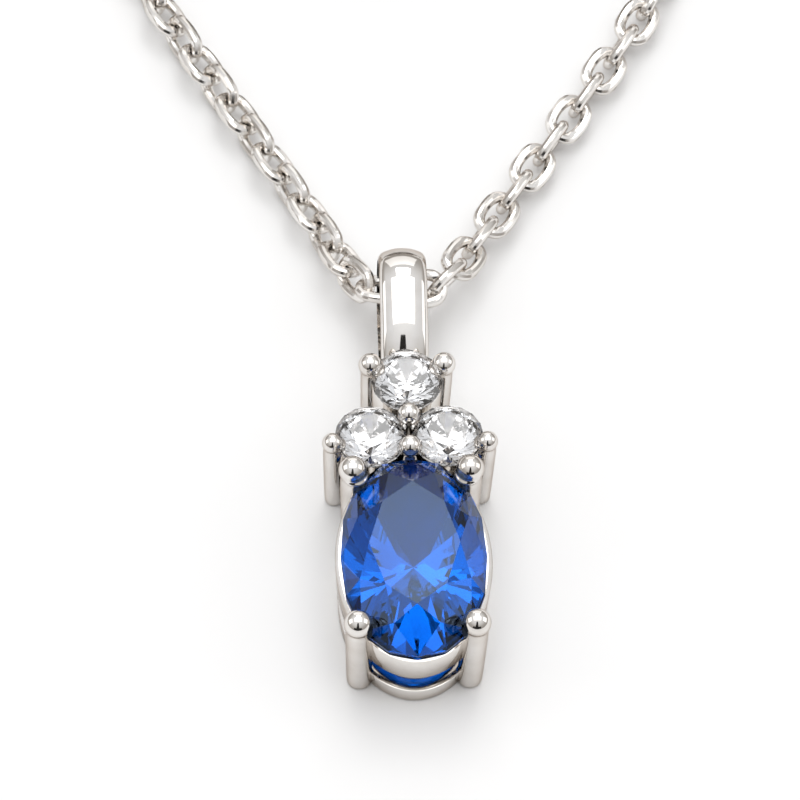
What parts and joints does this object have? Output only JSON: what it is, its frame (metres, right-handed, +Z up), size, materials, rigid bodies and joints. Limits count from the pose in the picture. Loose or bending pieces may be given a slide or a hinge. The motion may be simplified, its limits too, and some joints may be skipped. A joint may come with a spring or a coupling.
{
  "type": "pendant necklace",
  "caption": "Silver pendant with a claw-set oval blue stone under a cluster of small clear stones, on a loop bail with a fine cable chain and a spring ring clasp.",
  "frame": {"origin": "centre of the pendant's bounding box at the table it lies on, without the chain and clasp", "axes": "+Y along the pendant from the oval stone to the bail, +Z up from the back through the stones' tables, +X to the wearer's left as seen from the front"},
  "size_m": [0.0208, 0.0649, 0.0043],
  "materials": {
    "silver": "polished rhodium-plated silver",
    "silver_chain": "diamond-cut rhodium-plated silver cable chain",
    "blue_stone": "faceted deep blue stone",
    "clear_stone": "faceted clear stone",
    "spring_steel": "spring wire"
  },
  "bodies": {
    "chain": {"chain_left": "silver_chain", "chain_right": "silver_chain", "chain_coil": "silver_chain", "chain_tail_clasp": "silver_chain", "chain_tail_ring": "silver_chain", "chain_end_link_clasp": "silver_chain", "chain_end_link_ring": "silver_chain"},
    "pendant": {"oval_stone": "blue_stone", "round_stone_top": "clear_stone", "round_stone_left": "clear_stone", "round_stone_right": "clear_stone", "oval_claw_front_left": "silver", "oval_claw_front_right": "silver", "oval_claw_back_left": "silver", "oval_claw_back_right": "silver", "cluster_claw_top_left": "silver", "cluster_claw_top_right": "silver", "cluster_claw_middle": "silver", "cluster_claw_low": "silver", "cluster_claw_side_left": "silver", "cluster_claw_side_right": "silver", "oval_upper_rail": "silver", "oval_lower_rail": "silver", "cluster_seat_top": "silver", "cluster_seat_left": "silver", "cluster_seat_right": "silver", "cluster_base_rail": "silver", "bail": "silver"},
    "jump_ring": {"jump_ring": "silver"},
    "clasp": {"clasp_tube": "silver", "clasp_eye": "silver", "clasp_spring": "spring_steel"},
    "latch": {"clasp_latch": "silver"},
    "end_ring": {"end_ring": "silver"}
  },
  "joints": [
    {"name": "pendant_swing", "type": "hinge", "parent": "chain", "child": "pendant", "pos_m": [0, 0.00735, 0.00178], "axis": [-1, 0, 0], "range_deg": [0, 110]},
    {"name": "jump_ring_swing", "type": "hinge", "parent": "chain", "child": "jump_ring", "pos_m": [-0.00585, 0.04787, 0.00073], "axis": [0.9762, -0.2169, 0], "range_deg": [0, 60]},
    {"name": "clasp_swing", "type": "hinge", "parent": "jump_ring", "child": "clasp", "pos_m": [-0.00535, 0.05011, 0.00073], "axis": [0.9762, -0.2169, 0], "range_deg": [0, 60]},
    {"name": "latch_open", "type": "hinge", "parent": "clasp", "child": "latch", "pos_m": [-0.00464, 0.05334, 0.00073], "axis": [0, 0, 1], "range_deg": [0, 42], "stiffness_Nm_per_rad": 0.0004, "springref_deg": -28.65, "deforming": ["clasp_spring"]},
    {"name": "end_ring_swing", "type": "hinge", "parent": "chain", "child": "end_ring", "pos_m": [0.00586, 0.04781, 0.00073], "axis": [0.9762, 0.2169, 0], "range_deg": [0, 60]}
  ]
}
